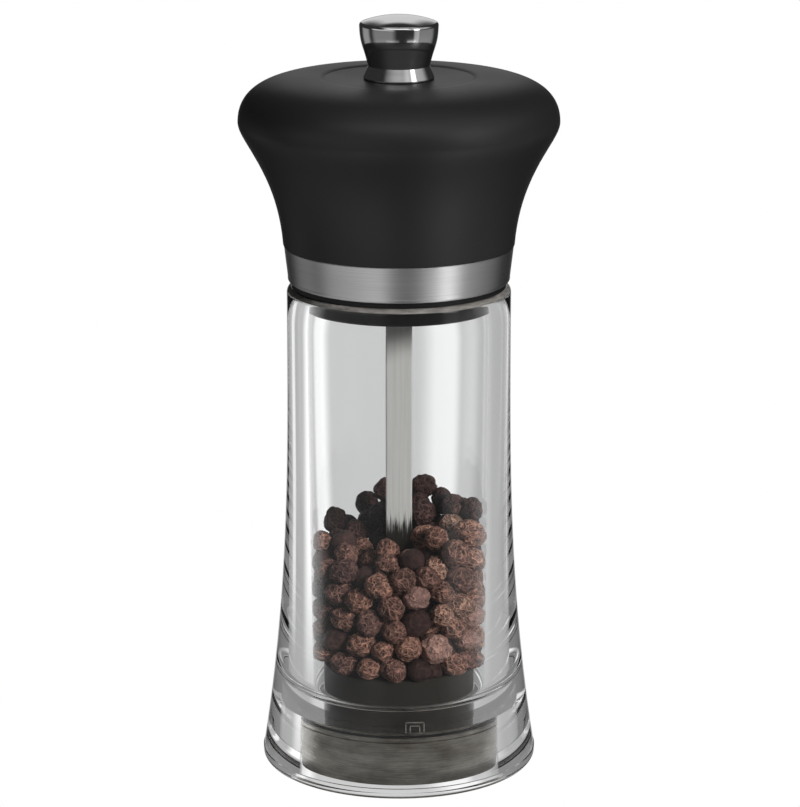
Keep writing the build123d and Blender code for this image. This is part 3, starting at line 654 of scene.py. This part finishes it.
def berry(directions, radius, wrinkle):
    """One dried berry: a lumpy ball with winding veins round sunk cells. Returns points and vein height."""
    lumps = 1 + 0.07 * np.sin(directions @ unit_points(3).T * 2.6 + rng.uniform(0, 6, 3)).sum(axis=1) / 2
    bend = np.sin(directions @ unit_points(3).T * 5.0 + rng.uniform(0, 6, 3))
    bent = directions + 0.16 * bend
    bent /= np.linalg.norm(bent, axis=1, keepdims=True)
    vein = np.zeros(len(directions))
    sink = np.zeros(len(directions))
    for cells, width, share in ((17, 0.13, 1.0), (46, 0.09, 0.6)):
        nearness = np.arccos(np.clip(bent @ unit_points(cells).T, -1, 1))
        nearness.sort(axis=1)
        edge = nearness[:, 1] - nearness[:, 0]
        vein = np.maximum(vein, share * np.exp(-(edge / width) ** 2))
        sink += share * np.exp(-(nearness[:, 0] / 0.32) ** 2)
    shape = lumps * (1 + wrinkle * (0.10 * vein - 0.09 * sink))
    return directions * (radius * shape)[:, None], vein


def pepper_skin():
    """Wrinkled skin: a winding net of pale ridges over dark hollows, the hollows partly the skin's colour and
    partly painted shade, set berry by berry from the colour layer (red the veins, green the tone with painted
    light and shade in it, blue how pale, alpha how wrinkled)."""
    s = Shader("pepper_skin").set(IOR=1.45)
    layer = s.node("VertexColor", layer_name="berry")
    parts = s.node("SeparateColor")
    s.link(layer.outputs["Color"], parts.inputs[0])
    vein, tone, pale = parts.outputs
    wrinkled = layer.outputs["Alpha"]
    p = s.position()

    drift = s.node("TexNoise")
    s.link(p, drift.inputs["Vector"])
    drift.inputs["Scale"].default_value = 620
    drift.inputs["Detail"].default_value = 2
    shift = s.node("VectorMath", operation="MULTIPLY_ADD")
    s.link(drift.outputs["Color"], shift.inputs[0])
    shift.inputs[1].default_value = (0.0012, 0.0012, 0.0012)
    s.link(p, shift.inputs[2])

    def maths(operation, first, second):
        made = s.node("Math", operation=operation)
        for slot, value in enumerate((first, second)):
            if isinstance(value, (int, float)):
                made.inputs[slot].default_value = value
            else:
                s.link(value, made.inputs[slot])
        return made.outputs[0]

    def ridge(distance, width):
        """1 on the line where distance is 0, fading out over width."""
        made = s.node("MapRange", interpolation_type="SMOOTHSTEP")
        s.link(distance, made.inputs["Value"])
        made.inputs["From Min"].default_value = width
        made.inputs["From Max"].default_value = 0.0
        return made.outputs["Result"]

    def cells(scale, width):
        made = s.node("TexVoronoi", feature="DISTANCE_TO_EDGE")
        s.link(shift.outputs[0], made.inputs["Vector"])
        made.inputs["Scale"].default_value = scale
        return ridge(made.outputs["Distance"], width)

    fold = s.noise(shift.outputs[0], 420, 1)
    fold = ridge(maths("ABSOLUTE", maths("SUBTRACT", fold, 0.5), 0), 0.035)
    net = maths("MAXIMUM", cells(760, 0.13), fold)
    net = maths("MAXIMUM", net, maths("MULTIPLY", cells(1500, 0.15), 0.5))
    net = maths("MULTIPLY", net, wrinkled)
    light = maths("ADD", maths("MULTIPLY", net, 0.85), maths("MULTIPLY", vein, 0.3))
    light.node.use_clamp = True

    # Painted shade: the hollows are darker than the skin's own colour, as shade in the creases. Low tone,
    # used at the back top, is nearly black, and high tone, reached only on the right, gives the brightest
    # crests.
    hollow_colour_and_shade = s.ramp(tone, (
        (0.0, (0.002, 0.002, 0.002)),
        (0.2, (0.018, 0.011, 0.012)),
        (0.6, (0.026, 0.012, 0.012)),
        (1.0, (0.12, 0.052, 0.036)),
    ))
    crest = s.ramp(tone, (
        (0.0, (0.006, 0.004, 0.004)),
        (0.2, (0.30, 0.18, 0.165)),
        (0.6, (0.82, 0.46, 0.34)),
        (1.0, (0.98, 0.70, 0.54)),
    ))
    blend = s.node("Mix", data_type="RGBA")
    s.link(light, blend.inputs["Factor"])
    s.link(hollow_colour_and_shade, blend.inputs[6])
    s.link(crest, blend.inputs[7])
    lighten = s.node("Mix", data_type="RGBA")
    s.link(pale, lighten.inputs["Factor"])
    s.link(blend.outputs[2], lighten.inputs[6])
    lighten.inputs[7].default_value = (0.62, 0.40, 0.35, 1)
    mottle = s.noise(p, 900, 5, 0.65)
    shade = s.node("Mix", data_type="RGBA", blend_type="MULTIPLY")
    shade.inputs["Factor"].default_value = 1.0
    s.link(lighten.outputs[2], shade.inputs[6])
    s.link(s.ramp(mottle, ((0.3, (0.5, 0.47, 0.47)), (0.7, (1.2, 1.1, 1.05)))), shade.inputs[7])
    s.link(shade.outputs[2], s.bsdf.inputs["Base Color"])
    s.link(s.spread(mottle, 0.38, 0.7), s.bsdf.inputs["Roughness"])
    s.bump(maths("ADD", net, maths("MULTIPLY", s.noise(p, 2200, 2, 0.6), 0.25)), 1.0, 0.00028)
    return s.material


def build_peppercorns():
    """The heap, in four objects from the bottom up. Colour is chance, with painted light making the berries
    warmer and paler to the right, and painted shade making the top of the back nearly black.
    """
    centres, radii = settle(DROPPED)
    surface = HEAP_TOP + HEAP_SLOPE[0] * centres[:, 0] + HEAP_SLOPE[1] * centres[:, 1]
    kept = [k for k in np.argsort(centres[:, 2]) if centres[k, 2] + 0.5 * radii[k] < surface[k]]
    fine, coarse = ball(17), ball(7)
    skin = pepper_skin()
    batches = {"peppercorns_low": [], "peppercorns_middle": [], "peppercorns_high": [], "peppercorns_top": []}
    names = list(batches)
    for order, k in enumerate(kept):
        batches[names[order * len(names) // len(kept)]].append(k)
    for name, members in batches.items():
        verts, faces, shades = [], [], []
        for k in members:
            x, y, z = centres[k]
            below = surface[k] - z - radii[k]
            buried = math.hypot(x, y) < 11.5 * MM and below > 5.5 * MM
            directions, quads = coarse if buried else fine
            smooth = rng.uniform() < SMOOTH_SHARE
            wrinkle = rng.uniform(0.2, 0.45) if smooth else rng.uniform(0.8, 1.25)
            turn = np.linalg.qr(rng.normal(size=(3, 3)))[0]
            points, vein = berry(directions, radii[k], wrinkle)
            squeeze = np.array([1, rng.uniform(0.93, 1.03), rng.uniform(0.9, 1.0)])
            faces.append(quads + sum(len(v) for v in verts))
            points = (points * squeeze) @ turn.T + centres[k]
            outward = np.hypot(points[:, 0], points[:, 1])
            points[:, :2] *= np.minimum(1.0, BORE_CLEAR / outward)[:, None]
            verts.append(points)
            painted_light_right = 0.5 + 0.5 * math.tanh((x - 2 * MM) / (5 * MM))   # painted light, 0 at the left and 1 at the right
            # Painted light: the tone, and the chance of a pale berry, rise towards the right.
            if smooth:
                tone = rng.uniform(0.12, 0.35)
            else:
                tone = rng.uniform(0.2, 0.6) + 0.5 * painted_light_right * rng.uniform(0, 1)
            pale = rng.uniform(0.4, 0.8) if rng.uniform() < 0.02 + 0.12 * painted_light_right else rng.uniform(0, 0.06)
            if y > 1 * MM and below < 5 * MM:       # painted shade: the top of the back is made nearly black
                tone, pale = tone * 0.2, 0.0
            shade = np.ones((len(points), 4))
            shade[:, 0] = vein * min(1.0, wrinkle)
            shade[:, 1] = tone
            shade[:, 2] = pale
            shade[:, 3] = 0.12 if smooth else rng.uniform(0.75, 1.0)
            shades.append(shade)
        mesh = bpy.data.meshes.new(name)
        mesh.from_pydata(np.concatenate(verts).tolist(), [], np.concatenate(faces).tolist())
        mesh.shade_smooth()
        layer = mesh.color_attributes.new("berry", "FLOAT_COLOR", "POINT")
        layer.data.foreach_set("color", np.concatenate(shades).ravel())
        heap = bpy.data.objects.new(name, mesh)
        scene.collection.objects.link(heap)
        give(heap, skin)
        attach(heap, "mill_body")
        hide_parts("peppercorns")


build_peppercorns()
